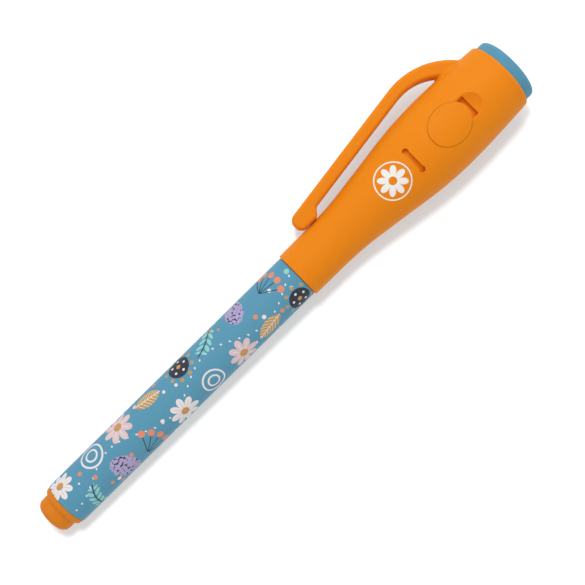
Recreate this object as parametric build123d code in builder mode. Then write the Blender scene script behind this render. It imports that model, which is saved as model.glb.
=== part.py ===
"""Felt-tip pen for invisible ink, with an ultraviolet lamp in its cap.

+X runs along the pen from the tail to the lamp, +Y points out through the clip
and +Z out through the push button. The origin is on the pen's axis, halfway along
the barrel. Sizes are in millimetres. In the cap, places along X are measured from
its mouth.
"""

import os
from math import cos, hypot, pi, sin, sqrt

from build123d import *

os.makedirs("parts", exist_ok=True)

# Fits
press_gap = 0.02
running_gap = 0.1
seat_gap = 0.05
loose_gap = 0.1

# Barrel
barrel_length = 67.5
barrel_d = 10.2
barrel_wall = 0.9
barrel_edge = 0.2

# Tail plug
collar_d = 10.1
collar_taper = 0.3
collar_length = 1.4
collar_round = 0.6
knob_d = 8.2
knob_length = 3.5
knob_crown = 0.35
knob_round = 1.6
knob_foot = 0.4
plug_spigot_length = 6.5
plug_wall = 1.1
plug_lead = 0.3

# Nib section and nib
section_d = 9.0
section_length = 11.0
section_spigot_length = 10.0
bead_x = 4.0
bead_height = 0.08
bead_round = 0.5
land_d = 7.2
land_length = 4.0
cone_base_d = 6.6
nose_d = 3.4
nose_length = 1.5
section_round = 0.3
nib_d = 2.2
nib_reach = 3.5
nib_taper_length = 1.8
nib_tip_d = 0.9
nib_in_core = 6.0

# Ink store
wrap_thickness = 0.15
core_end_gap = 0.3

# Cap, outer form
cap_length = 59.3
mouth_d = 10.98
mouth_round = 0.25
neck_length = 8.0
neck_d = 11.08
flare_start_x = 18.5
flare_start_d = 12.54
flare_end_x = 30.5
flare_end_d = 15.9
crown_from_rim = 14.3
crown_d = 17.56
rim_d = 16.08
rim_round = 0.5

# Cap, hollow
throat_length = 16.0
throat_lead = 0.3
lamp_bore_d = 13.0
lamp_bore_length = 28.3

# Clip
clip_width = 5.0
clip_thickness = 2.72
clip_bend_from_rim = 19.1
clip_bend_y = 14.02
clip_bend_r = 16.4
clip_under_r = 11.6
clip_root_turn = 60.0
clip_nose_x = 6.65
clip_nose_y = 9.25
clip_nose_round = 1.7
clip_toe_x = 11.4
clip_toe_round = 1.3
clip_heel_x = 12.7
clip_heel_round = 1.6
clip_foot_gap = 0.1
clip_edge = 0.8

# Push button, the hollow and the notch beside it, and the groove in the wall
pad_from_rim = 16.1
pad_length = 9.8
pad_width = 8.4
pad_gap = 0.05
pad_proud = 0.12
pad_crown_r = 8.9
pad_edge = 0.15
pad_wall = 1.1
pad_top_thickness = 1.4
pusher_d = 2.4
ear_width = 3.2
ear_catch = 1.1
ear_thickness = 0.8
button_travel = 0.7
notch_start = 4.35
notch_width = 1.55
notch_length = 4.85
notch_round = 0.3
notch_wall = 0.3
hollow_x = 5.0
hollow_r = 5.6
hollow_depth = 1.35
groove_from_rim = 26.3
groove_length = 6.2
groove_width = 1.0
groove_end_d = 1.35
groove_depth = 0.9

# Inner cap
inner_wall = 0.9
nib_end_gap = 1.1
inner_start = 0.5
inner_seat_length = 2.5
inner_round = 0.45

# Lamp plug
lamp_flange_d = 14.9
lamp_flange_length = 2.8
lamp_flange_round = 0.8
lamp_crown = 0.4
lamp_spigot_length = 6.0
lamp_spigot_wall = 1.25
lamp_boss_d = 7.8

# Lamp and its wires
led_d = 5.0
led_length = 8.6
led_flange_d = 5.8
led_flange_length = 1.0
led_flat = 0.4
led_recess = 0.4
lead_d = 0.5
lead_pitch = 2.54
lead_bend_r = 0.4

# Cells and their cradle
cell_count = 3
cell_d = 7.9
cell_height = 3.6
cell_cap_d = 6.4
cell_cap_height = 0.3
cell_round = 0.25
cell_drop = 1.2
cradle_top = 0.6
cradle_front_wall = 2.2
cradle_rear_wall = 1.5
cradle_ring_length = 2.2
cradle_deck_width = 6.0
stake_d = 1.0
stake_head = 0.25
stake_inset = 0.7
cradle_gap = 4.85

# Contacts
spring_wire = 0.4
spring_d = 4.4
spring_length = 2.7
spring_turns = 2.5
spring_arcs_per_turn = 4
strip_thickness = 0.25
strip_width = 3.0
plate_width = 5.0
plate_drop = 3.0
plus_arm_lift = 0.5
plus_arm_overlap = 1.5
leaf_overlap = 2.7
leaf_tip_round = 0.75

# Places along the pen: the lamp, its wire, the spring and the cells follow each other
# back from the rim, and the nib ends just short of them
barrel_r = barrel_d / 2
barrel_bore_r = barrel_r - barrel_wall
tail_x = -barrel_length / 2
shoulder_x = barrel_length / 2
mouth_x = shoulder_x + seat_gap
rim_x = mouth_x + cap_length
face_x = rim_x + lamp_flange_length
led_tip_x = face_x - led_recess
led_base_x = led_tip_x - led_length
front_wall_x = led_base_x - loose_gap
spring_seat_x = front_wall_x - cradle_front_wall
cathode_foot_x = spring_seat_x - seat_gap - lead_d / 2
spring_end_x = cathode_foot_x - lead_d / 2
cells_front_x = spring_end_x - spring_length
cells_back_x = cells_front_x - cell_count * cell_height
plate_x = cells_back_x - strip_thickness
cradle_x = plate_x - cradle_rear_wall
inner_end_x = cradle_x - cradle_gap
nib_tip_x = inner_end_x - inner_wall - nib_end_gap
button_x = rim_x - pad_from_rim


def rings(part):
    """Circular edges that lie square to the pen's axis."""
    return part.edges().filter_by(GeomType.CIRCLE).filter_by(Plane.YZ)


# Barrel: an extruded tube, open at both ends
with BuildPart() as barrel:
    with BuildSketch(Plane.YZ.offset(tail_x)):
        Circle(barrel_r)
        Circle(barrel_bore_r, mode=Mode.SUBTRACT)
    extrude(amount=barrel_length)
    fillet(rings(barrel).group_by(SortBy.RADIUS)[-1], barrel_edge)
barrel.part.label = "barrel"
export_step(barrel.part, "parts/barrel.step")

# Tail plug: a hollow stopper with a collar and a narrower rounded knob
spigot_r = barrel_bore_r - press_gap
plug_in_x = tail_x + plug_spigot_length
collar_x = tail_x - collar_length
knob_end_x = collar_x - knob_length
knob_r = knob_d / 2
collar_r = collar_d / 2
plug_bore_r = spigot_r - plug_wall

with BuildPart() as tail_plug:
    with BuildSketch(Plane.XY):
        with BuildLine():
            crown = TangentArc(
                (knob_end_x, 0), (knob_end_x + knob_crown, knob_r), tangent=(0, 1)
            )
            Polyline(
                crown @ 1,
                (collar_x, knob_r),
                (collar_x, collar_r - collar_taper),
                (tail_x, collar_r),
                (tail_x, spigot_r),
                (plug_in_x, spigot_r),
                (plug_in_x, plug_bore_r),
                (tail_x, plug_bore_r),
                (tail_x, 0),
                crown @ 0,
            )
        make_face()
    revolve(axis=Axis.X)
    plug_rings = rings(tail_plug).group_by(Axis.X)
    fillet(plug_rings[0], knob_round)
    plug_rings = rings(tail_plug).filter_by_position(
        Axis.X, collar_x - plug_lead, collar_x + plug_lead
    )
    fillet(plug_rings.sort_by(SortBy.RADIUS)[-1], collar_round)
    fillet(plug_rings.sort_by(SortBy.RADIUS)[0], knob_foot)
    chamfer(rings(tail_plug).group_by(Axis.X)[-1].sort_by(SortBy.RADIUS)[-1], plug_lead)
tail_plug.part.label = "tail_plug"
export_step(tail_plug.part, "parts/tail_plug.step")

# Nib section: pressed into the barrel, with a bead that holds the cap, a sealing
# land for the inner cap and a cone that carries the nib
section_r = section_d / 2
section_in_x = shoulder_x - section_spigot_length
land_x = shoulder_x + section_length
cone_x = land_x + land_length
nose_end_x = nib_tip_x - nib_reach
nose_x = nose_end_x - nose_length
nib_bore_r = nib_d / 2 + press_gap

with BuildPart() as nib_section:
    with BuildSketch(Plane.XY):
        with BuildLine():
            Polyline(
                (section_in_x, nib_bore_r),
                (section_in_x, spigot_r),
                (shoulder_x, spigot_r),
                (shoulder_x, section_r),
                (land_x, section_r),
                (land_x, land_d / 2),
                (cone_x, land_d / 2),
                (cone_x, cone_base_d / 2),
                (nose_x, nose_d / 2),
                (nose_end_x, nose_d / 2),
                (nose_end_x, nib_bore_r),
                close=True,
            )
        make_face()
    revolve(axis=Axis.X)
    outer_rings = rings(nib_section).filter_by_position(Axis.X, land_x, nose_end_x)
    fillet(outer_rings.group_by(Axis.X)[0].sort_by(SortBy.RADIUS)[-1], section_round)
    fillet(outer_rings.group_by(Axis.X)[-1].sort_by(SortBy.RADIUS)[-1], section_round)
    chamfer(rings(nib_section).group_by(Axis.X)[0].sort_by(SortBy.RADIUS)[-1], plug_lead)
    with BuildSketch(Plane.XY):
        with Locations((shoulder_x + bead_x, section_r + bead_height - bead_round)):
            Circle(bead_round)
    revolve(axis=Axis.X)
nib_section.part.label = "nib_section"
export_step(nib_section.part, "parts/nib_section.step")

# Fibre nib: a pressed rod with a bullet point, its back end in the ink store
core_front_x = section_in_x - core_end_gap
nib_in_x = core_front_x - nib_in_core
nib_r = nib_d / 2

with BuildPart() as fibre_nib:
    with BuildSketch(Plane.XY):
        with BuildLine():
            tip = TangentArc(
                (nib_tip_x, 0), (nib_tip_x - nib_tip_d / 2, nib_tip_d / 2), tangent=(0, 1)
            )
            Polyline(
                tip @ 1,
                (nib_tip_x - nib_taper_length, nib_r),
                (nib_in_x, nib_r),
                (nib_in_x, 0),
                tip @ 0,
            )
        make_face()
    revolve(axis=Axis.X)
fibre_nib.part.label = "fibre_nib"
export_step(fibre_nib.part, "parts/fibre_nib.step")

# Ink store: a fibre rod in a film sleeve, loose in the barrel
wrap_r = barrel_bore_r - running_gap
core_r = wrap_r - wrap_thickness
core_back_x = plug_in_x + core_end_gap
core_length = core_front_x - core_back_x

with BuildPart() as ink_core:
    with BuildSketch(Plane.YZ.offset(core_back_x)):
        Circle(core_r)
    extrude(amount=core_length)
    with BuildSketch(Plane.YZ.offset(nib_in_x)):
        Circle(nib_bore_r)
    extrude(amount=nib_in_core, mode=Mode.SUBTRACT)
ink_core.part.label = "ink_core"
export_step(ink_core.part, "parts/ink_core.step")

with BuildPart() as core_wrap:
    with BuildSketch(Plane.YZ.offset(core_back_x)):
        Circle(wrap_r)
        Circle(core_r + press_gap, mode=Mode.SUBTRACT)
    extrude(amount=core_length)
core_wrap.part.label = "core_wrap"
export_step(core_wrap.part, "parts/core_wrap.step")

# Clip: a bar that rises along the cap, turns over and runs into the wall near the
# rim, where it is thicker, with a rounded foot that rests just clear of the neck
bend_x = rim_x - clip_bend_from_rim
clip_end_x = mouth_x + clip_nose_x
bar_run = bend_x - clip_end_x
bar_rise = clip_bend_y - clip_nose_y
bar_length = hypot(bar_run, bar_rise)
slope = (bar_run / bar_length, bar_rise / bar_length)
bar_drop = clip_thickness / slope[0]
inner_bend = (bend_x + clip_thickness * slope[1], clip_bend_y - clip_thickness * slope[0])
foot_y = neck_d / 2 + clip_foot_gap


def clip_top(x):
    """Height of the bar's outer line above the pen's axis."""
    return clip_bend_y - bar_rise * (bend_x - x) / bar_run


heel = (mouth_x + clip_heel_x, clip_top(mouth_x + clip_heel_x) - bar_drop)
toe = (mouth_x + clip_toe_x, foot_y)

with BuildPart() as clip:
    with BuildSketch(Plane.XY.offset(-clip_width / 2)) as clip_side:
        with BuildLine():
            over = JernArc((bend_x, clip_bend_y), slope, clip_bend_r, -clip_root_turn)
            under = JernArc(inner_bend, slope, clip_under_r, -clip_root_turn)
            Line(over @ 1, under @ 1)
            Polyline(
                under @ 0,
                heel,
                toe,
                (clip_end_x, foot_y),
                (clip_end_x, clip_nose_y),
                over @ 0,
            )
        make_face()
        fillet(clip_side.vertices().group_by(Axis.X)[0], clip_nose_round)
        fillet(clip_side.vertices().sort_by_distance(heel)[0], clip_heel_round)
        fillet(clip_side.vertices().sort_by_distance(toe)[0], clip_toe_round)
    extrude(amount=clip_width)
    flanks = clip.faces().filter_by(Axis.Z).edges()
    fillet(flanks.filter_by_position(Axis.X, clip_end_x, (under @ 1).X), clip_edge)

# Cap: a flared shell moulded with its clip, open at the mouth and at the lamp end
throat_r = section_r + running_gap
lamp_bore_r = lamp_bore_d / 2
throat_end_x = mouth_x + throat_length
lamp_bore_x = rim_x - lamp_bore_length
pad_a = pad_length / 2
pad_b = pad_width / 2
above_cap = crown_d

with BuildLine() as cap_outline:
    neck = Line((mouth_x, mouth_d / 2), (mouth_x + neck_length, neck_d / 2))
    flare = Line((mouth_x + flare_start_x, flare_start_d / 2), (mouth_x + flare_end_x, flare_end_d / 2))
    Spline(neck @ 1, flare @ 0, tangents=(neck % 1, flare % 0))
    belly = TangentArc(flare @ 1, (rim_x - crown_from_rim, crown_d / 2), tangent=flare % 1)
    taper = TangentArc(belly @ 1, (rim_x, rim_d / 2), tangent=belly % 1)
    Polyline(taper @ 1, (rim_x, 0), (mouth_x, 0), neck @ 0)

groove_x = rim_x - groove_from_rim
belly_rise = sqrt(belly.radius**2 - (groove_x - belly.arc_center.X) ** 2)
groove_floor_r = belly.arc_center.Y + belly_rise - groove_depth

with BuildPart() as groove:
    with BuildSketch(Plane.XY):
        with Locations((groove_x, 0)):
            SlotOverall(groove_length, groove_width, rotation=90)
            with GridLocations(0, groove_length - groove_end_d, 1, 2):
                Circle(groove_end_d / 2)
    extrude(amount=above_cap)
    with BuildSketch(Plane.YZ.offset(groove_x - groove_end_d)):
        Circle(groove_floor_r)
    extrude(amount=2 * groove_end_d, mode=Mode.SUBTRACT)

with BuildPart() as cap_shell:
    with BuildSketch(Plane.XY):
        make_face(cap_outline.edges())
    revolve(axis=Axis.X)
    fillet(rings(cap_shell).group_by(Axis.X)[-1], rim_round)
    fillet(rings(cap_shell).group_by(Axis.X)[0], mouth_round)
    add(clip.part)
    with BuildSketch(Plane.XY):
        with BuildLine():
            Polyline(
                (mouth_x, 0),
                (mouth_x, throat_r + throat_lead),
                (mouth_x + throat_lead, throat_r),
                (throat_end_x, throat_r),
                (lamp_bore_x, lamp_bore_r),
                (rim_x, lamp_bore_r),
                (rim_x, 0),
                close=True,
            )
        make_face()
    revolve(axis=Axis.X, mode=Mode.SUBTRACT)
    with BuildSketch(Plane.XY):
        with Locations((shoulder_x + bead_x, section_r + bead_height - bead_round)):
            Circle(bead_round + running_gap)
    revolve(axis=Axis.X, mode=Mode.SUBTRACT)
    with Locations((button_x + hollow_x, 0, crown_d / 2 - hollow_depth + hollow_r)):
        Sphere(hollow_r, mode=Mode.SUBTRACT)
    with BuildSketch(Plane.XY):
        with Locations((button_x, 0)):
            Ellipse(pad_a + pad_gap, pad_b + pad_gap)
    extrude(amount=above_cap, mode=Mode.SUBTRACT)
    with BuildSketch(Plane.XY.offset(lamp_bore_r + notch_wall)):
        with Locations((button_x + notch_start + notch_width / 2, 0)):
            RectangleRounded(notch_width, notch_length, notch_round)
    extrude(amount=above_cap, mode=Mode.SUBTRACT)
    add(groove.part, mode=Mode.SUBTRACT)
cap_shell.part.label = "cap_shell"
export_step(cap_shell.part, "parts/cap_shell.step")

# Inner cap: a thimble pushed in from the lamp end that seals around the section's
# land and parts the nib from the lamp
inner_bore_r = land_d / 2 + running_gap
inner_r = throat_r - press_gap
inner_x = land_x + inner_start
bore_slope = (lamp_bore_r - throat_r) / (lamp_bore_x - throat_end_x)
seat_end_x = throat_end_x + inner_seat_length
seat_r = inner_r + bore_slope * inner_seat_length

with BuildPart() as inner_cap:
    with BuildSketch(Plane.XY):
        with BuildLine():
            Polyline(
                (inner_x, inner_bore_r),
                (inner_x, inner_r),
                (throat_end_x, inner_r),
                (seat_end_x, seat_r),
                (seat_end_x, inner_bore_r + inner_wall),
                (inner_end_x, inner_bore_r + inner_wall),
                (inner_end_x, 0),
                (inner_end_x - inner_wall, 0),
                (inner_end_x - inner_wall, inner_bore_r),
                close=True,
            )
        make_face()
    revolve(axis=Axis.X)
    fillet(rings(inner_cap).group_by(Axis.X)[-1], inner_round)
inner_cap.part.label = "inner_cap"
export_step(inner_cap.part, "parts/inner_cap.step")

# Lamp plug: the blue end piece, a flange on the rim, a spigot in the bore and a boss
# that holds the lamp
led_r = led_d / 2
led_flange_r = led_flange_d / 2
led_seat_x = led_base_x + led_flange_length + press_gap
lamp_spigot_r = lamp_bore_r - press_gap
lamp_inner_r = lamp_spigot_r - lamp_spigot_wall
lamp_spigot_x = rim_x - lamp_spigot_length
flange_r = lamp_flange_d / 2

with BuildPart() as lamp_plug:
    with BuildSketch(Plane.XY):
        with BuildLine():
            face = TangentArc((face_x, 0), (face_x - lamp_crown, flange_r), tangent=(0, 1))
            Polyline(
                face @ 1,
                (rim_x, flange_r),
                (rim_x, lamp_spigot_r),
                (lamp_spigot_x, lamp_spigot_r),
                (lamp_spigot_x, lamp_inner_r),
                (rim_x, lamp_inner_r),
                (rim_x, lamp_boss_d / 2),
                (led_base_x + loose_gap, lamp_boss_d / 2),
                (led_base_x + loose_gap, led_flange_r + loose_gap),
                (led_seat_x, led_flange_r + loose_gap),
                (led_seat_x, 0),
                face @ 0,
            )
        make_face()
    revolve(axis=Axis.X)
    fillet(rings(lamp_plug).group_by(Axis.X)[-1], lamp_flange_round)
    with BuildSketch(Plane.YZ.offset(led_base_x)):
        Circle(led_r + press_gap)
    extrude(amount=led_length + led_recess, mode=Mode.SUBTRACT)
lamp_plug.part.label = "lamp_plug"
export_step(lamp_plug.part, "parts/lamp_plug.step")

# Lamp: a moulded resin body with a domed end, a flange and a flat on its cathode side
with BuildPart() as uv_led:
    with BuildSketch(Plane.XY):
        with BuildLine():
            dome = TangentArc((led_tip_x, 0), (led_tip_x - led_r, led_r), tangent=(0, 1))
            Polyline(
                dome @ 1,
                (led_base_x + led_flange_length, led_r),
                (led_base_x + led_flange_length, led_flange_r),
                (led_base_x, led_flange_r),
                (led_base_x, 0),
                dome @ 0,
            )
        make_face()
    revolve(axis=Axis.X)
    with BuildSketch(Plane.YZ.offset(led_base_x)):
        with Locations((0, -led_flange_r)):
            Rectangle(led_flange_d, 2 * led_flat)
    extrude(amount=led_flange_length, mode=Mode.SUBTRACT)
uv_led.part.label = "uv_led"
export_step(uv_led.part, "parts/uv_led.step")

# Cell cradle: a trough for the cells, a deck for the switch leaf, and a ring that
# presses into the lamp plug
cell_r = cell_d / 2
cell_z = -cell_drop
cradle_r = lamp_bore_r - loose_gap
pocket_r = cell_r + loose_gap
plus_arm_z = cell_z + cell_r + plus_arm_lift
leaf_z = plus_arm_z + strip_thickness + button_travel + press_gap
lead_z = lead_pitch / 2
lead_slot = lead_d + 2 * loose_gap
anode_bend_x = front_wall_x - lead_d
stake_x = spring_seat_x + stake_inset

with BuildPart() as cell_cradle:
    with BuildSketch(Plane.YZ.offset(cradle_x)):
        Circle(cradle_r)
        with Locations((0, cradle_top)):
            Rectangle(
                2 * cradle_r, 2 * cradle_r, align=(Align.CENTER, Align.MIN), mode=Mode.SUBTRACT
            )
    extrude(amount=front_wall_x - cradle_x)
    with BuildSketch(Plane.YZ.offset(plate_x)):
        with Locations((0, cell_z)):
            Circle(pocket_r)
            Rectangle(2 * pocket_r, 2 * cradle_r, align=(Align.CENTER, Align.MIN))
    extrude(amount=spring_seat_x - plate_x, mode=Mode.SUBTRACT)
    with BuildSketch(Plane.YZ.offset(spring_seat_x)):
        Rectangle(cradle_deck_width, leaf_z, align=(Align.CENTER, Align.MIN))
    extrude(amount=cradle_front_wall)
    with BuildSketch(Plane.YZ.offset(front_wall_x)):
        Circle(lamp_inner_r - press_gap)
        Circle(lamp_boss_d / 2 + loose_gap, mode=Mode.SUBTRACT)
    extrude(amount=cradle_ring_length)
    with BuildSketch(Plane.YZ.offset(spring_seat_x)):
        with Locations((0, -lead_z)):
            Circle(lead_slot / 2)
    extrude(amount=cradle_front_wall, mode=Mode.SUBTRACT)
    with BuildSketch(Plane.YZ.offset(front_wall_x)):
        with Locations((0, lead_z - lead_slot / 2)):
            Rectangle(lead_slot, leaf_z, align=(Align.CENTER, Align.MIN))
    extrude(amount=-(lead_d + lead_slot / 2), mode=Mode.SUBTRACT)
    with BuildSketch(Plane.XY.offset(leaf_z)):
        with Locations((stake_x, 0)):
            Circle(stake_d / 2)
    extrude(amount=strip_thickness + stake_head)
cell_cradle.part.label = "cell_cradle"
export_step(cell_cradle.part, "parts/cell_cradle.step")

# Button cells: a drawn can with a rolled edge and the raised minus cap towards the lamp
for number in range(cell_count):
    cell_x = cells_back_x + number * cell_height
    with BuildPart() as button_cell:
        with BuildSketch(Plane.YZ.offset(cell_x)):
            with Locations((0, cell_z)):
                Circle(cell_r)
        extrude(amount=cell_height - cell_cap_height)
        fillet(rings(button_cell), cell_round)
        with BuildSketch(Plane.YZ.offset(cell_x)):
            with Locations((0, cell_z)):
                Circle(cell_cap_d / 2)
        extrude(amount=cell_height)
    button_cell.part.label = f"button_cell_{number + 1}"
    export_step(button_cell.part, f"parts/button_cell_{number + 1}.step")

# Contact spring: a short coil between the last cell's minus cap and the lamp's wire
coil_r = spring_d / 2
coil_start_x = cells_front_x + spring_wire / 2 + press_gap
coil_end_x = spring_end_x - spring_wire / 2 - press_gap
coil_pitch = (coil_end_x - coil_start_x) / spring_turns
arc_count = round(spring_turns * spring_arcs_per_turn)


def coil_point(turn):
    """Centre of the wire after a number of turns."""
    angle = 2 * pi * turn
    return Vector(
        coil_start_x + coil_pitch * turn, coil_r * sin(angle), cell_z + coil_r * cos(angle)
    )


def coil_direction(turn):
    """Direction of the wire after a number of turns."""
    angle = 2 * pi * turn
    across = 2 * pi * coil_r
    return Vector(coil_pitch, across * cos(angle), -across * sin(angle)).normalized()


def biarc(start, start_direction, end, end_direction):
    """Two arcs that leave start and reach end along the given directions."""
    chord = end - start
    both = start_direction + end_direction
    square = both.dot(both) - 4
    linear = -2 * chord.dot(both)
    reach = (-linear - sqrt(linear**2 - 4 * square * chord.dot(chord))) / (2 * square)
    leave = start + start_direction * reach
    arrive = end - end_direction * reach
    middle = (leave + arrive) / 2
    TangentArc(start, middle, tangent=start_direction)
    TangentArc(middle, end, tangent=arrive - leave)


with BuildPart() as contact_spring:
    with BuildLine() as coil:
        for arc in range(arc_count):
            first = arc / spring_arcs_per_turn
            last = (arc + 1) / spring_arcs_per_turn
            biarc(
                coil_point(first), coil_direction(first), coil_point(last), coil_direction(last)
            )
    with BuildSketch(Plane(coil_point(0), z_dir=coil_direction(0))):
        Circle(spring_wire / 2)
    sweep(path=coil.wires()[0])
contact_spring.part.label = "contact_spring"
export_step(contact_spring.part, "parts/contact_spring.step")

coil_samples = 24
coil_steps = round(spring_turns * coil_samples)
coil_path = [coil_point(step / coil_samples) for step in range(coil_steps + 1)]
least_gap = min(
    (coil_path[near] - coil_path[far]).length - spring_wire
    for near in range(coil_steps + 1)
    for far in range(near + coil_samples // 2, coil_steps + 1)
)
print(f"contact spring: least gap to itself {least_gap:.2f} mm")

# Plus contact: a bent strip behind the cells with an arm over them, under the button
arm_end_x = button_x + plus_arm_overlap

with BuildPart() as plus_contact:
    with BuildSketch(Plane.YZ.offset(plate_x)):
        with Locations((0, plus_arm_z + strip_thickness)):
            Rectangle(
                plate_width,
                plus_arm_z + strip_thickness - cell_z + plate_drop,
                align=(Align.CENTER, Align.MAX),
            )
    extrude(amount=strip_thickness)
    with BuildSketch(Plane.XY.offset(plus_arm_z)):
        with Locations((plate_x, 0)):
            Rectangle(arm_end_x - plate_x, strip_width, align=(Align.MIN, Align.CENTER))
    extrude(amount=strip_thickness)
plus_contact.part.label = "plus_contact"
export_step(plus_contact.part, "parts/plus_contact.step")

# Switch leaf: a sprung strip staked to the cradle's deck, its free end under the button
leaf_tip_x = button_x - leaf_overlap
leaf_end_x = front_wall_x

with BuildPart() as switch_leaf:
    with BuildSketch(Plane.XY.offset(leaf_z)):
        with Locations(((leaf_tip_x + leaf_end_x) / 2, 0)):
            Rectangle(leaf_end_x - leaf_tip_x, strip_width)
        with Locations((stake_x, 0)):
            Circle(stake_d / 2 + press_gap, mode=Mode.SUBTRACT)
    extrude(amount=strip_thickness)
    fillet(switch_leaf.edges().filter_by(Axis.Z).group_by(Axis.X)[0], leaf_tip_round)
switch_leaf.part.label = "switch_leaf"
export_step(switch_leaf.part, "parts/switch_leaf.step")

# Lamp wires: one bent up to the leaf, one bent down across the spring's end
with BuildPart() as led_anode_lead:
    with BuildLine(Plane.XZ) as anode_path:
        FilletPolyline(
            (led_base_x, lead_z), (anode_bend_x, lead_z), (anode_bend_x, leaf_z), radius=lead_bend_r
        )
    with BuildSketch(Plane.YZ.offset(led_base_x)):
        with Locations((0, lead_z)):
            Circle(lead_d / 2)
    sweep(path=anode_path.wires()[0])
led_anode_lead.part.label = "led_anode_lead"
export_step(led_anode_lead.part, "parts/led_anode_lead.step")

cathode_foot_z = cell_z - coil_r - lead_d

with BuildPart() as led_cathode_lead:
    with BuildLine(Plane.XZ) as cathode_path:
        FilletPolyline(
            (led_base_x, -lead_z),
            (cathode_foot_x, -lead_z),
            (cathode_foot_x, cathode_foot_z),
            radius=lead_bend_r,
        )
    with BuildSketch(Plane.YZ.offset(led_base_x)):
        with Locations((0, -lead_z)):
            Circle(lead_d / 2)
    sweep(path=cathode_path.wires()[0])
led_cathode_lead.part.label = "led_cathode_lead"
export_step(led_cathode_lead.part, "parts/led_cathode_lead.step")

# Push button: a raised oval pad with a hollow skirt, two ears that keep it under the
# wall and a post that reaches down to the leaf
pad_top_z = crown_d / 2 + pad_proud
pad_under_z = pad_top_z - pad_top_thickness
pusher_z = leaf_z + strip_thickness + seat_gap
ear_top_z = sqrt(lamp_bore_r**2 - (ear_width / 2) ** 2) - loose_gap
skirt_z = ear_top_z - ear_thickness
ear_length = pad_wall + ear_catch
ear_reach = pad_a + ear_catch - ear_length / 2

with BuildPart() as push_button:
    with BuildSketch(Plane.XY.offset(skirt_z)):
        with Locations((button_x, 0)):
            Ellipse(pad_a, pad_b)
    extrude(amount=pad_top_z - skirt_z)
    with BuildSketch(Plane.YZ.offset(button_x - pad_a)):
        with Locations((0, pad_top_z - pad_crown_r)):
            Circle(pad_crown_r)
    extrude(amount=pad_length, mode=Mode.INTERSECT)
    fillet(push_button.faces().sort_by(Axis.Z)[-1].edges(), pad_edge)
    with BuildSketch(Plane.XY.offset(skirt_z)):
        with Locations((button_x, 0)):
            Ellipse(pad_a - pad_wall, pad_b - pad_wall)
    extrude(amount=pad_under_z - skirt_z, mode=Mode.SUBTRACT)
    with BuildSketch(Plane.XY.offset(skirt_z)):
        with Locations((button_x, 0)):
            with GridLocations(2 * ear_reach, 0, 2, 1):
                Rectangle(ear_length, ear_width)
    extrude(amount=ear_thickness)
    with BuildSketch(Plane.XY.offset(pusher_z)):
        with Locations((button_x, 0)):
            Circle(pusher_d / 2)
    extrude(until=Until.NEXT)
push_button.part.label = "push_button"
export_step(push_button.part, "parts/push_button.step")
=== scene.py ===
"""Looks of a felt-tip pen for invisible ink, with an ultraviolet lamp in its cap.

+X runs along the pen from the tail to the lamp, +Y points out through the clip and
+Z out through the push button. The pieces follow in the order they are put together.
Shapes are in metres, and materials read their place on a piece in millimetres.
"""

import math
import random

import bmesh
import bpy
from mathutils import Matrix, Vector


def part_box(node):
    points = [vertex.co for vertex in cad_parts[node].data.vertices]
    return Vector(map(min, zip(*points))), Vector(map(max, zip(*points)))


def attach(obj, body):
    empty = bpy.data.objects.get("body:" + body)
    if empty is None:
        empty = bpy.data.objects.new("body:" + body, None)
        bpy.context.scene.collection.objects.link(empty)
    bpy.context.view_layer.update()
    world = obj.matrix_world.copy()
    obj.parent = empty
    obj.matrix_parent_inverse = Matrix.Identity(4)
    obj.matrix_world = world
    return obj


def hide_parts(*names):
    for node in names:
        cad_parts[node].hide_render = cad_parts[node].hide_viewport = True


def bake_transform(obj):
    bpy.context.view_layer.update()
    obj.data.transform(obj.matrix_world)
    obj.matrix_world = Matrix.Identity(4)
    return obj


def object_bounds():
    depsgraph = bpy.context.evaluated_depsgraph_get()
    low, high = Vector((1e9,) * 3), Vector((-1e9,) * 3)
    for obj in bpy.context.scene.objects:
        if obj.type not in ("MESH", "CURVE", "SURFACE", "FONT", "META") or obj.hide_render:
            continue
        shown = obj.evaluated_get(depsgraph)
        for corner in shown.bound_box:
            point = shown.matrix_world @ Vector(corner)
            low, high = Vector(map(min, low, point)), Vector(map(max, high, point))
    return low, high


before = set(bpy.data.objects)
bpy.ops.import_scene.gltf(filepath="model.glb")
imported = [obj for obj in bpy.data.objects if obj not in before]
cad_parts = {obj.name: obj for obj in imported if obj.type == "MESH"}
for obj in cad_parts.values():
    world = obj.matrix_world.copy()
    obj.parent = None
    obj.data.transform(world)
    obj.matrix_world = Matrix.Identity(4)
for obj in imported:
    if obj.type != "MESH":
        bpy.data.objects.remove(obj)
cad_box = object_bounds()

# Ink store: a rod of bonded polyester fibre that soaks up the ink.
# The fibres run along it, so it is pale and streaked. It slides into its sleeve dry.
mm = 1000  # millimetres in a metre


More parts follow.
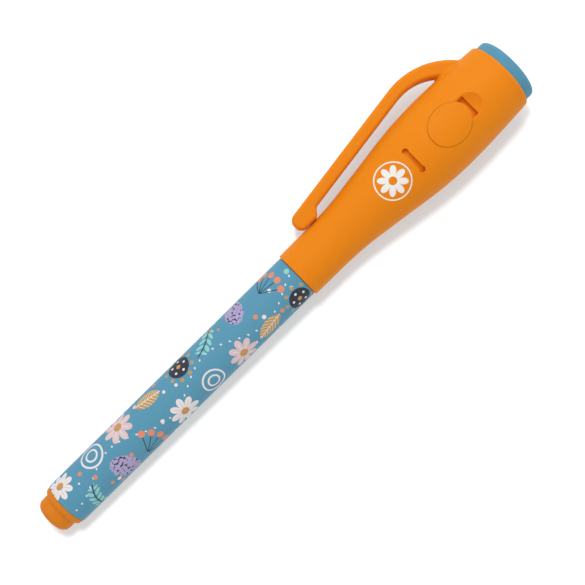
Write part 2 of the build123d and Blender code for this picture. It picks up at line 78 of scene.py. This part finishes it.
class Value:
    """A value in a material. Arithmetic on it adds Math nodes, and node() adds any other."""

    def __init__(self, socket):
        self.socket = socket

    def node(self, kind, settings, inputs, output=0):
        """Adds a node: its settings first, then the values or links of its sockets."""
        tree = self.socket.id_data
        made = tree.nodes.new("ShaderNode" + kind)
        for name, value in settings.items():
            setattr(made, name, value)
        for name, value in inputs.items():
            if isinstance(value, Value):
                tree.links.new(value.socket, made.inputs[name])
            else:
                made.inputs[name].default_value = value
        return Value(made.outputs[output])

    def __add__(self, other):
        return self.node("Math", {"operation": "ADD"}, {0: self, 1: other})

    def __radd__(self, other):
        return self.node("Math", {"operation": "ADD"}, {0: other, 1: self})

    def __sub__(self, other):
        return self.node("Math", {"operation": "SUBTRACT"}, {0: self, 1: other})

    def __rsub__(self, other):
        return self.node("Math", {"operation": "SUBTRACT"}, {0: other, 1: self})

    def __mul__(self, other):
        return self.node("Math", {"operation": "MULTIPLY"}, {0: self, 1: other})

    def __rmul__(self, other):
        return self.node("Math", {"operation": "MULTIPLY"}, {0: other, 1: self})

    def __truediv__(self, other):
        return self.node("Math", {"operation": "DIVIDE"}, {0: self, 1: other})

    def __pow__(self, other):
        return self.node("Math", {"operation": "POWER"}, {0: self, 1: other})

    def __abs__(self):
        return self.node("Math", {"operation": "ABSOLUTE"}, {0: self})

    def __lt__(self, other):
        return self.node("Math", {"operation": "LESS_THAN"}, {0: self, 1: other})

    def __gt__(self, other):
        return self.node("Math", {"operation": "GREATER_THAN"}, {0: self, 1: other})


def new_finish(name, constants):
    """A material, its shader and the place on the piece in millimetres."""
    finish = bpy.data.materials.new(name)
    finish.use_nodes = True
    shader = finish.node_tree.nodes["Principled BSDF"]
    for socket, value in constants.items():
        shader.inputs[socket].default_value = value
    place = Value(finish.node_tree.nodes.new("ShaderNodeTexCoord").outputs["Object"])
    place_in_mm = place.node("VectorMath", {"operation": "SCALE"}, {0: place, "Scale": mm})
    return finish, shader, place_in_mm


def feed(shader, **sockets):
    """Links values to the shader's sockets."""
    for name, value in sockets.items():
        shader.id_data.links.new(value.socket, shader.inputs[name.replace("_", " ")])


def mix(mask, under, over):
    """One colour over another where the mask is 1. Mix has its colours on sockets 6 and 7."""
    return mask.node("Mix", {"data_type": "RGBA"}, {0: mask, 6: under, 7: over}, 2)


def noise(place, waves, detail, shares=(1, 1, 1)):
    """Soft noise with a number of waves to the millimetre, times a share along each axis."""
    scaled = place.node("Mapping", {}, {"Vector": place, "Scale": shares})
    return place.node("TexNoise", {}, {"Vector": scaled, "Scale": waves, "Detail": detail})


def relief(height, depth):
    """A normal for a surface that rises by the depth, in millimetres, where the height is 1."""
    return height.node("Bump", {}, {"Distance": depth / mm, "Height": height})


def dress(finish, *names):
    """Gives a finish to pieces of the frame."""
    for name in names:
        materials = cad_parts[name].data.materials
        materials.clear()
        materials.append(finish)


def felt(name, light, shade):
    """Bonded fibres that run along the pen."""
    finish, shader, place = new_finish(name, {"Roughness": 0.9, "Sheen Weight": 0.3})
    fibres = noise(place, waves=5, detail=4, shares=(0.06, 1, 1))
    feed(shader, Base_Color=mix(fibres, shade, light), Normal=relief(fibres, depth=0.12))
    return finish


store_fibre = felt("ink store fibre", light=(0.86, 0.86, 0.84, 1), shade=(0.60, 0.61, 0.61, 1))
dress(store_fibre, "ink_core")

# Sleeve: thin clear film, wrapped around the ink store and welded along its length.
# It lets the store slide into the barrel without catching.
film_blue = (0.86, 0.89, 0.92, 1)
film_pale = (0.95, 0.96, 0.97, 1)
sleeve_film, shader, place = new_finish("sleeve film", {"Roughness": 0.12, "Alpha": 0.5})
creases = noise(place, waves=0.8, detail=3)
feed(shader, Base_Color=mix(creases, film_blue, film_pale), Normal=relief(creases, depth=0.06))
dress(sleeve_film, "core_wrap")

# Nib: a rod of stiff felt, ground to a bullet point.
# Its back end stands in the ink store, and the nib section grips its front.
nib_felt = felt("nib felt", light=(0.90, 0.89, 0.85, 1), shade=(0.66, 0.65, 0.61, 1))
dress(nib_felt, "fibre_nib")


# Nib section: white polypropylene, moulded, pressed into the barrel's front end.
# The cap slides over it, so rubbing lines run along its dull skin.
def moulded(name, colour, shade, marks=lambda place: 0, prints=lambda place: ()):
    """Moulded plastic with faint clouds in its colour, flow lines and a fine dull grain.

    The marks of its mould are heights in millimetres, and its prints are masks with their inks.
    """
    grain_height = 0.006
    finish, shader, place = new_finish(
        name,
        {
            "Specular IOR Level": 0.13,
            "Subsurface Weight": 0.3,
            "Subsurface Radius": (1, 0.4, 0.1),
            "Subsurface Scale": 0.0006,
        },
    )
    clouds = noise(place, waves=0.16, detail=2)
    flow = noise(place, waves=2, detail=2, shares=(0.08, 1, 1))
    grain = noise(place, waves=3.5, detail=3)
    paint = mix(clouds, shade, colour)
    for mask, ink in prints(place):
        paint = mix(mask, paint, ink)
    feed(
        shader,
        Base_Color=paint,
        Roughness=0.46 + 0.10 * grain + 0.08 * flow,
        Normal=relief(grain_height * grain + marks(place), depth=1),
    )
    return finish


white_plastic = moulded(
    "white plastic", colour=(0.84, 0.84, 0.82, 1), shade=(0.77, 0.77, 0.75, 1)
)
dress(white_plastic, "nib_section")

# Barrel: an extruded blue tube with a print of meadow plants and pebbles all around it.
# The print is laid out flat, along the pen and around it from the button's side, and its
# seam lies at the back. The tube's inside and ends stay plain.
barrel_low, barrel_high = (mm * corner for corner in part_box("barrel"))
barrel_radius = barrel_high.y
barrel_blue = (0.078, 0.292, 0.432, 1)
white_ink = (0.84, 0.77, 0.76, 1)
pink_ink = (0.74, 0.54, 0.55, 1)
coral_ink = (0.78, 0.25, 0.13, 1)
ochre_ink = (0.53, 0.30, 0.075, 1)
mint_ink = (0.27, 0.62, 0.56, 1)
lavender_ink = (0.43, 0.36, 0.60, 1)
night_ink = (0.010, 0.010, 0.026, 1)
worn_ink = (0.55, 0.62, 0.66, 1)

barrel_finish, shader, place = new_finish("printed barrel", {"Specular IOR Level": 0.15})


def split(vector):
    """The three numbers of a vector."""
    first = vector.node("SeparateXYZ", {}, {0: vector})
    return [Value(output) for output in first.socket.node.outputs]


def angle(y, x):
    """The direction of a point, counted from the x axis."""
    return y.node("Math", {"operation": "ARCTAN2"}, {0: y, 1: x})


def wrap(value, half):
    """A value that starts again from -half each time that it reaches half."""
    return value.node("Math", {"operation": "WRAP"}, {0: value, 1: half, 2: -half})


def length(spot):
    """How far a spot is from the middle."""
    return spot.node("VectorMath", {"operation": "LENGTH"}, {0: spot}, 1)


def lobes(turn, count):
    """A wave from 0 to 1 and back for each lobe around a middle."""
    return abs(turn.node("Math", {"operation": "COSINE"}, {0: turn * (count / 2)}))


def dotted_ring(out, turn, count, ring_radius, dot_radius):
    """Round dots along a ring."""
    aside = wrap(turn, math.pi / count) * ring_radius
    return aside * aside + (out - ring_radius) ** 2 < dot_radius**2


# Motifs: each is drawn around its middle, about as far out as 1, as masks with their inks
def daisy(spot, petal_ink, vein_ink):
    """Eight blunt petals around a button."""
    petal_count, petal_root, bluntness = 8, 0.42, 0.6
    vein_half, vein_end = 0.02, 0.75
    button_radius, dimple_radius = 0.27, 0.1
    p, q = split(spot)[:2]
    out = length(spot)
    turn = angle(q, p)
    petals = out < petal_root + (1 - petal_root) * lobes(turn, petal_count) ** bluntness
    veins = (abs(wrap(turn, math.pi / petal_count)) * out < vein_half) * (out < vein_end)
    return [
        (petals, petal_ink),
        (veins, vein_ink),
        (out < button_radius, ochre_ink),
        (out < dimple_radius, coral_ink),
    ]


def pink_daisy(spot):
    """A pink daisy with white veins."""
    return daisy(spot, pink_ink, white_ink)


def white_daisy(spot):
    """A white daisy with pink veins."""
    return daisy(spot, white_ink, pink_ink)


def seed_head(spot):
    """A dark disc with pale seeds, in a ring of beads."""
    disc_radius, core_radius = 0.68, 0.14
    p, q = split(spot)[:2]
    out = length(spot)
    turn = angle(q, p)
    beads = dotted_ring(out, turn, count=9, ring_radius=0.86, dot_radius=0.11402)
    seeds = dotted_ring(out, turn, count=5, ring_radius=0.42, dot_radius=0.07746)
    return [
        (out < disc_radius, night_ink),
        (beads, ochre_ink),
        (seeds, white_ink),
        (out < core_radius, ochre_ink),
    ]


def sprig(spot):
    """A bent stem with pairs of leaves."""
    bend, stem_half = 0.25, 0.035
    leaf_out, leaf_half_pitch, leaves_end = 0.24, 0.2, 0.8
    leaf_half_length, leaf_half_width = 0.36, 0.16
    p, q = split(spot)[:2]
    aside = p - bend * q * q
    stem = (abs(aside) < stem_half) * (abs(q) < 1)
    out = abs(aside) - leaf_out
    up = wrap(q, leaf_half_pitch)
    lengthwise = (out + up) / leaf_half_length
    crosswise = (up - out) / leaf_half_width
    leaves = (lengthwise * lengthwise + crosswise * crosswise < 1) * (abs(q) < leaves_end)
    return [(stem, night_ink), (leaves, mint_ink)]


def leaf(spot):
    """A pointed leaf with its veins."""
    slimness, midrib_half = 0.7, 0.03
    vein_slope, vein_half_pitch, vein_half = 0.9, 0.13, 0.022
    p, q = split(spot)[:2]
    blade = (abs(p) + slimness) ** 2 + q * q < 1 + slimness**2
    midrib = abs(p) < midrib_half
    veins = abs(wrap(q - vein_slope * abs(p), vein_half_pitch)) < vein_half
    return [(blade, ochre_ink), (blade * (midrib + veins), white_ink)]


def pebble(spot):
    """A flat stone with dark specks."""
    flatness, raggedness, stone_edge, speck_level = 0.72, 0.5, 1.15, 0.57
    p, q = split(spot)[:2]
    specks = noise(spot, waves=5, detail=2)
    stone = p * p + (q / flatness) ** 2 + raggedness * specks < stone_edge
    return [(stone, lavender_ink), (stone * (specks > speck_level), night_ink)]


def spray(spot):
    """A fan of stalks with a berry on each."""
    root_down, fan_half, stalk_half_step = 0.9, 1.09, 0.22
    stalk_half, stalk_length = 0.03, 1.4
    berry_reach, berry_radius = 1.5, 0.23452
    p, q = split(spot)[:2]
    up = q + root_down
    reach = (p * p + up * up) ** 0.5
    lean = angle(p, up)
    aside = wrap(lean, stalk_half_step) * reach
    fan = abs(lean) < fan_half
    stalks = (abs(aside) < stalk_half) * fan * (reach < stalk_length)
    berries = (aside * aside + (reach - berry_reach) ** 2 < berry_radius**2) * fan
    return [(stalks, night_ink), (berries, coral_ink)]


def ripples(spot):
    """Rings, one in another."""
    half_pitch, line_half = 0.19, 0.06
    inner_end, outer_end = 0.1, 0.9
    out = length(spot)
    rings = abs(wrap(out, half_pitch)) < line_half
    return [(rings * (out < outer_end) * (out > inner_end), white_ink)]


along, across, height = split(place)
around = barrel_radius * angle(across, height)
wall = place.node("CombineXYZ", {}, {0: along, 1: around, 2: 0})
paint = barrel_blue

# Behind, dotted garlands and loose dots
garland_waves = 0.23
bead_half_step, bead_radius = 0.9, 0.21213
for level, swing in ((-12, 1.2), (-0.4, 2.2), (8.2, 1.5)):
    sway = place.node("Math", {"operation": "SINE"}, {0: garland_waves * along + level})
    line = around - level - swing * sway
    step = wrap(along, bead_half_step)
    paint = mix(step * step + line * line < bead_radius**2, paint, white_ink)
for waves, size, ink in ((0.28, 0.13, white_ink), (0.24, 0.12, coral_ink), (0.21, 0.13, mint_ink)):
    elsewhere = (7 * waves, 50 * waves, 9)
    moved = place.node("VectorMath", {"operation": "ADD"}, {0: place, 1: elsewhere})
    dots = place.node("TexVoronoi", {}, {"Vector": moved, "Scale": waves})
    paint = mix(dots < size, paint, ink)

# In front, the plants and pebbles in staggered rows
kinds = (pink_daisy, leaf, seed_head, sprig, pebble, spray, white_daisy, ripples)
rows, columns = 4, 8
row_pitch = 2 * math.pi * barrel_radius / rows
column_pitch = (barrel_high.x - barrel_low.x) / columns
staggers = (0.3, 0.7)
kind_shift = 3
drift = 0.5
smallest, largest = 3.1, 3.8
draw = random.Random(11)
for row in range(rows):
    for column in range(columns):
        stagger = staggers[row % 2]
        middle = (
            barrel_low.x + column_pitch * (column + stagger) + draw.uniform(-drift, drift),
            row_pitch * (row - (rows - 1) / 2) + draw.uniform(-drift, drift),
            0,
        )
        turned = (0, 0, draw.uniform(-math.pi, math.pi))
        size = draw.uniform(smallest, largest)
        spot = wall.node(
            "Mapping",
            {"vector_type": "TEXTURE"},
            {"Vector": wall, "Location": middle, "Rotation": turned, "Scale": (size, size, 1)},
        )
        kind = kinds[(kind_shift * row + column) % len(kinds)]
        for mask, ink in kind(spot):
            paint = mix(mask, paint, ink)

wear = 0.10
seam_half = 0.12
print_depth = 0.15
ink_grain = noise(place, waves=2.5, detail=3)
worn = mix(wear * ink_grain, paint, worn_ink)
seam = abs(around) > math.pi * barrel_radius - seam_half
outside = (across * across + height * height) ** 0.5 > barrel_radius - print_depth
feed(
    shader,
    Base_Color=mix(outside * (1 - seam), barrel_blue, worn),
    Roughness=0.42 + 0.12 * ink_grain,
    Normal=relief(ink_grain, depth=0.004),
)
dress(barrel_finish, "barrel")

# Tail plug: a hollow orange stopper, moulded, pressed into the barrel's open end.
# It is coloured a little darker than the cap, and its end keeps the mark of the mould's gate.
gate_radius, gate_depth = 1.2, 0.25
stub_radius, stub_height = 0.55, 0.2
gate_zone = 1
gate_end_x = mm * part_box("tail_plug")[0].x + gate_zone


def ease(value, start, end):
    """1 up to the start, and easing to 0 at the end."""
    return value.node(
        "MapRange",
        {"interpolation_type": "SMOOTHSTEP"},
        {"Value": value, "From Min": start, "From Max": end, "To Min": 1, "To Max": 0},
    )


def gate_mark(place):
    """A round dimple with the stub of the runner in its middle."""
    x, y, z = split(place)
    out = (y * y + z * z) ** 0.5
    dimple = gate_depth * ease(out, gate_radius / 2, gate_radius)
    stub = stub_height * ease(out, stub_radius / 2, stub_radius)
    return (stub - dimple) * (x < gate_end_x)


tail_orange = moulded(
    "tail orange",
    colour=(0.76, 0.236, 0.0125, 1),
    shade=(0.71, 0.217, 0.0115, 1),
    marks=gate_mark,
)
dress(tail_orange, "tail_plug")

# Cap: orange polypropylene, moulded in one piece with its clip. The mould parts halfway up,
# and leaves a fine line along both sides and the clip.
# A plain flower in a ring is printed in white on the flare.
orange = (0.84, 0.250, 0.004, 1)
orange_shade = (0.81, 0.239, 0.004, 1)
parting_half, parting_height = 0.18, 0.07
flower_ink = (0.86, 0.84, 0.80, 1)
flower_from_mouth = 27.1
flower_radius = 4.0
flower_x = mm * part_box("cap_shell")[0].x + flower_from_mouth


def parting_line(place):
    """A fine ridge where the halves of the mould meet."""
    height = split(place)[2]
    return parting_height * ease(abs(height), 0, parting_half)


def ringed_flower(place):
    """Eight petals in a ring, on the button's side of the cap."""
    petal_count, petal_root, petal_length, bluntness = 8, 0.3, 0.5, 0.6
    heart_radius = 0.22
    ring_radius, ring_half = 0.96, 0.035
    spot = place.node(
        "Mapping",
        {"vector_type": "TEXTURE"},
        {"Vector": place, "Location": (flower_x, 0, 0), "Scale": (flower_radius,) * 3},
    )
    p, q, front = split(spot)
    out = (p * p + q * q) ** 0.5
    reach = petal_root + petal_length * lobes(angle(q, p), petal_count) ** bluntness
    petals = (out < reach) * (out > heart_radius)
    ring = abs(out - ring_radius) < ring_half
    return [((petals + ring) * (front > 0), flower_ink)]


cap_orange = moulded(
    "printed cap orange", orange, orange_shade, marks=parting_line, prints=ringed_flower
)
dress(cap_orange, "cap_shell")

# Clip root: the soft fillet of the same moulding where the clip runs into the cap's wall.
# It is the wall and the clip's root once more, rounded off until only their corner stands
# proud, so it lies over the cap like a weld and moves with it.
cap_rim_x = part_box("cap_shell")[1].x
root_start, root_end = 0.0141, 0.0016
root_inside, root_outside = 0.0070, 0.0150
root_half = 0.0065
root_low = Vector((cap_rim_x - root_start, root_inside, -root_half))
root_high = Vector((cap_rim_x - root_end, root_outside, root_half))
root_weld = 1e-6
root_grain = 0.00013
root_rounds, root_share = 260, 0.5
root_sink = 0.00003


def slice_across(shape, place, outwards, clear_outer=False):
    """Cuts a shape along a plane, and may clear what lies outwards of it."""
    everything = shape.verts[:] + shape.edges[:] + shape.faces[:]
    return bmesh.ops.bisect_plane(
        shape, geom=everything, plane_co=place, plane_no=outwards, clear_outer=clear_outer
    )


def add_object(name, data):
    """A new object in the scene."""
    made = bpy.data.objects.new(name, data)
    bpy.context.scene.collection.objects.link(made)
    return made


def add_shape(name, shape, finish):
    """A new object for a finished shape."""
    mesh = bpy.data.meshes.new(name)
    shape.to_mesh(mesh)
    shape.free()
    mesh.materials.append(finish)
    return add_object(name, mesh)


shape = bmesh.new()
shape.from_mesh(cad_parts["cap_shell"].data)
bmesh.ops.remove_doubles(shape, verts=shape.verts, dist=root_weld)
for corner, side in ((root_low, -1), (root_high, 1)):
    for axis in range(3):
        outwards = Vector((0, 0, 0))
        outwards[axis] = side
        cut = slice_across(shape, corner, outwards, clear_outer=True)
        rim = [part for part in cut["geom_cut"] if isinstance(part, bmesh.types.BMEdge)]
        if rim:
            bmesh.ops.holes_fill(shape, edges=rim)
bmesh.ops.recalc_face_normals(shape, faces=shape.faces)
clip_root = add_shape("clip_root", shape, cap_orange)

even = clip_root.modifiers.new("even", "REMESH")
even.mode = "VOXEL"
even.voxel_size = root_grain
finished = clip_root.evaluated_get(bpy.context.evaluated_depsgraph_get())
evened = bpy.data.meshes.new_from_object(finished)
clip_root.modifiers.clear()

shape = bmesh.new()
shape.from_mesh(evened)
bpy.data.meshes.remove(evened)
for smoothing in range(root_rounds):
    bmesh.ops.smooth_vert(
        shape,
        verts=shape.verts,
        factor=root_share,
        use_axis_x=True,
        use_axis_y=True,
        use_axis_z=True,
    )
shape.normal_update()
sunk_places = [vert.co - root_sink * vert.normal for vert in shape.verts]
for vert, sunk_place in zip(shape.verts, sunk_places):
    vert.co = sunk_place
for face in shape.faces:
    face.smooth = True
shape.to_mesh(clip_root.data)
shape.free()
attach(clip_root, "cap")

# Inner cap and cell cradle: plain white mouldings that are hidden in the cap.
# The inner cap is pushed into the cap's throat, and the cradle into the lamp plug.
dress(white_plastic, "inner_cap", "cell_cradle")


# Button cells: nickel-plated cans, drawn from sheet steel and crimped over a seal.
# They stand in a row in the cradle.
def metal(name, light, dark, roughness, shares):
    """Bare metal with the fine lines of how it was drawn or rolled."""
    finish, shader, place = new_finish(name, {"Metallic": 1})
    lines = noise(place, waves=4, detail=3, shares=shares)
    feed(
        shader,
        Base_Color=mix(lines, dark, light),
        Roughness=roughness + 0.2 * lines,
        Normal=relief(lines, depth=0.004),
    )
    return finish


nickel = metal(
    "nickel",
    light=(0.72, 0.70, 0.66, 1),
    dark=(0.55, 0.53, 0.50, 1),
    roughness=0.18,
    shares=(4, 1, 1),
)
dress(nickel, "button_cell_1", "button_cell_2", "button_cell_3")

# Plus contact: rolled brass strip, cut out and bent.
# It stands behind the cells, and its arm reaches forward over them to below the button.
brass = metal(
    "rolled brass",
    light=(0.80, 0.60, 0.28, 1),
    dark=(0.62, 0.43, 0.17, 1),
    roughness=0.28,
    shares=(0.1, 3, 3),
)
dress(brass, "plus_contact")

# Contact spring: a short coil of plated steel wire.
# It is held between the last cell and the lamp's wire, and presses the cells together.
wire = metal(
    "plated wire",
    light=(0.70, 0.69, 0.67, 1),
    dark=(0.50, 0.49, 0.47, 1),
    roughness=0.25,
    shares=(1, 1, 1),
)
dress(wire, "contact_spring")

# Switch leaf: a sprung brass strip, staked to the cradle at its lamp end.
# Pressed, its free end bends down under the button to the plus contact. Here it is built flat, and
# only cut across where it would bend.
leaf_low, leaf_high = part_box("switch_leaf")
tip_round, tip_steps = 0.00075, 6
stake_from_end = 0.0015
stake_hole_radius, stake_hole_steps = 0.00052, 24
clamped_length = 0.0024
button_end_to_post = 0.0072
fixed_x = leaf_high.x - clamped_length
pressed_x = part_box("push_button")[0].x + button_end_to_post
bend_steps = 12


def thicken(shape, faces, thickness):
    """Gives flat faces a thickness."""
    thick = bmesh.ops.extrude_face_region(shape, geom=faces)
    far_side = [part for part in thick["geom"] if isinstance(part, bmesh.types.BMVert)]
    bmesh.ops.translate(shape, verts=far_side, vec=thickness)


shape = bmesh.new()
bmesh.ops.create_circle(shape, segments=stake_hole_steps, radius=stake_hole_radius)
bmesh.ops.translate(shape, verts=shape.verts, vec=(leaf_high.x - stake_from_end, 0, leaf_low.z))
outline = [
    shape.verts.new((x, y, leaf_low.z))
    for x, y in (
        (leaf_low.x, leaf_low.y),
        (leaf_high.x, leaf_low.y),
        (leaf_high.x, leaf_high.y),
        (leaf_low.x, leaf_high.y),
    )
]
for start, end in zip(outline, outline[1:] + outline[:1]):
    shape.edges.new((start, end))
bmesh.ops.bevel(
    shape,
    geom=[outline[0], outline[3]],
    offset=tip_round,
    affect="VERTICES",
    segments=tip_steps,
    profile=0.5,
    material=-1,
)
bmesh.ops.triangle_fill(shape, use_beauty=True, edges=shape.edges[:])
thicken(shape, shape.faces[:], (0, 0, leaf_high.z - leaf_low.z))
for step in range(1, bend_steps):
    cut_x = pressed_x + (fixed_x - pressed_x) * step / bend_steps
    slice_across(shape, (cut_x, 0, 0), (1, 0, 0))
bmesh.ops.recalc_face_normals(shape, faces=shape.faces)
switch_strip = add_shape("switch_strip", shape, brass)
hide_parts("switch_leaf")
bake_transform(switch_strip)

# Push button: a pad moulded in the cap's orange, with two ears that keep it under the wall.
# It is put in from inside, and the switch leaf springs it out again.
button_orange = moulded("button orange", orange, orange_shade)
dress(button_orange, "push_button")

# Lamp: clear resin with a faint violet cast, cast around its wires' flat heads.
# The larger head carries the cup with the chip. The lamp is pushed into its plug from behind.
resin_violet = (0.72, 0.68, 0.88, 1)
resin_pale = (0.82, 0.80, 0.93, 1)
lamp_resin, shader, place = new_finish("lamp resin", {"Transmission Weight": 0.85, "IOR": 1.53})
streaks = noise(place, waves=0.5, detail=2)
feed(
    shader,
    Base_Color=mix(streaks, resin_violet, resin_pale),
    Roughness=0.04 + 0.05 * streaks,
)
dress(lamp_resin, "uv_led")

# Lamp frame, in millimetres from the lamp's base and across it
lamp_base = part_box("uv_led")[0].x
cup_head = (
    (0, -1.52),
    (2.3, -1.52),
    (3.4, -0.8),
    (3.4, 0.6),
    (2.6, 0.6),
    (1.5, -1.02),
    (0, -1.02),
)
wire_head = ((0, 1.02), (0, 1.52), (3.2, 1.52), (3.2, 1.1), (2.4, 1.02))
head_half = 0.25
cup_profile = ((3.4, 0), (3.4, 0.5), (4.1, 0.85), (4.1, 0.74), (3.6, 0.42), (3.6, 0))
cup_steps = 32
cup_weld = 1e-7


def in_lamp(along, aside, up):
    """A place in the lamp, counted from its base."""
    return lamp_base + along / mm, aside / mm, up / mm


shape = bmesh.new()
for outline in (cup_head, wire_head):
    corners = [shape.verts.new(in_lamp(x, -head_half, z)) for x, z in outline]
    thicken(shape, [shape.faces.new(corners)], (0, 2 * head_half / mm, 0))
line = [shape.verts.new(in_lamp(x, 0, radius)) for x, radius in cup_profile]
edges = [shape.edges.new(pair) for pair in zip(line, line[1:])]
bmesh.ops.spin(
    shape,
    geom=line + edges,
    cent=(0, 0, 0),
    axis=(1, 0, 0),
    angle=2 * math.pi,
    steps=cup_steps,
    use_merge=True,
)
bmesh.ops.remove_doubles(shape, verts=shape.verts, dist=cup_weld)
bmesh.ops.recalc_face_normals(shape, faces=shape.faces)
lamp_frame = add_shape("lamp_frame", shape, wire)
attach(lamp_frame, "cap")

# Lamp wires: tinned steel, cast into the lamp's base.
# One is bent up to the switch leaf, and the other down across the spring's end.
dress(wire, "led_anode_lead", "led_cathode_lead")

# Lamp plug: a blue moulding with a flange, a spigot and a boss that holds the lamp.
# It is pressed into the cap's open end.
lamp_blue = moulded(
    "lamp plug blue", colour=(0.103, 0.315, 0.458, 1), shade=(0.096, 0.297, 0.434, 1)
)
dress(lamp_blue, "lamp_plug")

# Floor: a wide white board. The pen lies on it with its cap's belly and its tail, so to the
# pen the board leans a little. It shows the pen's soft shadow.
floor_half = 1.5
floor_clear = 0.00003
cap_belly_x, cap_belly_z = 0.0757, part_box("cap_shell")[0].z - floor_clear
tail_edge_x, tail_edge_z = barrel_low.x / mm, barrel_low.z / mm - floor_clear
floor_lean = math.atan((tail_edge_z - cap_belly_z) / (cap_belly_x - tail_edge_x))
floor_middle = (0, 0, tail_edge_z + tail_edge_x * math.tan(floor_lean))
near_glow, far_glow = 0.42, 1
near_end, far_start = 130, 300


def shown(value):
    """1 for a ray that shows a thing itself, straight, mirrored or through glass."""
    straight, mirrored, through = (
        value.node("LightPath", {}, {}, ray)
        for ray in ("Is Camera Ray", "Is Glossy Ray", "Is Transmission Ray")
    )
    return value.node(
        "Math", {"operation": "ADD", "use_clamp": True}, {0: straight, 1: mirrored + through}
    )


floor_white, shader, place = new_finish(
    "floor white",
    {
        "Base Color": (0.4, 0.4, 0.4, 1),
        "Roughness": 1,
        "Specular IOR Level": 0,
        "Emission Strength": 1,
    },
)
glow = place.node(
    "MapRange",
    {},
    {
        "Value": length(place),
        "From Min": near_end,
        "From Max": far_start,
        "To Min": near_glow,
        "To Max": far_glow,
    },
)
feed(shader, Emission_Color=mix(shown(place) * glow, (0, 0, 0, 1), (1, 1, 1, 1)))

shape = bmesh.new()
bmesh.ops.create_grid(shape, x_segments=1, y_segments=1, size=floor_half)
bmesh.ops.rotate(shape, verts=shape.verts, matrix=Matrix.Rotation(floor_lean, 3, "Y"))
bmesh.ops.translate(shape, verts=shape.verts, vec=floor_middle)
floor = add_shape("floor", shape, floor_white)

# Light: a pale room, and a soft lamp that leans to the clip's side, with the shade on the
# far side. A smaller lamp lights the floor alone and draws the pen's shadow on it.
room_level = 0.76
lamp_distance = 0.5
pen_middle = Vector(cad_box[0]).lerp(Vector(cad_box[1]), 0.5)

room = bpy.data.worlds.new("pale room")
room.use_nodes = True
bpy.context.scene.world = room
sky = room.node_tree.nodes["Background"]
sky.inputs["Color"].default_value = (1, 1, 1, 1)
feed(sky, Strength=room_level + (1 - room_level) * shown(Value(sky.outputs[0])))


def hang_lamp(name, size, level, lean, turn):
    """A round lamp that leans from straight above, with its angles in degrees.

    Its level is the brightness that it gives a white sheet.
    """
    lamp_data = bpy.data.lights.new(name, "AREA")
    lamp_data.shape = "DISK"
    lamp_data.size = size
    lamp_data.energy = level * (math.pi * lamp_distance) ** 2
    lamp = add_object(name, lamp_data)
    out, up = math.sin(math.radians(lean)), math.cos(math.radians(lean))
    turned = math.radians(turn)
    away = Vector((out * math.cos(turned), out * math.sin(turned), up))
    lamp.location = pen_middle + lamp_distance * away
    lamp.rotation_euler = away.to_track_quat("Z", "Y").to_euler()
    return lamp


hang_lamp("soft_lamp", size=0.3, level=0.36, lean=40, turn=45)
floor_lamp = hang_lamp("floor_lamp", size=0.08, level=1.1, lean=18.5, turn=60)
floor_lamp.light_linking.receiver_collection = bpy.data.collections.new("floor")
floor_lamp.light_linking.receiver_collection.objects.link(floor)

# Camera: straight above, turned so that the lamp end points to the upper right.
# Its lens follows from its height and from how large the pen is in the picture.
camera_place = (0.03053, -0.0018, 0.25)
camera_turn = -44.63
pixels_per_metre = 4787
picture_pixels = 585
sensor_width = 36
camera_data = bpy.data.cameras.new("camera")
camera_data.sensor_width = sensor_width
camera_data.lens = sensor_width * pixels_per_metre * camera_place[2] / picture_pixels
camera = add_object("camera", camera_data)
camera.location = camera_place
camera.rotation_euler = (0, 0, math.radians(camera_turn))
bpy.context.scene.camera = camera
bpy.context.scene.view_settings.view_transform = "Standard"
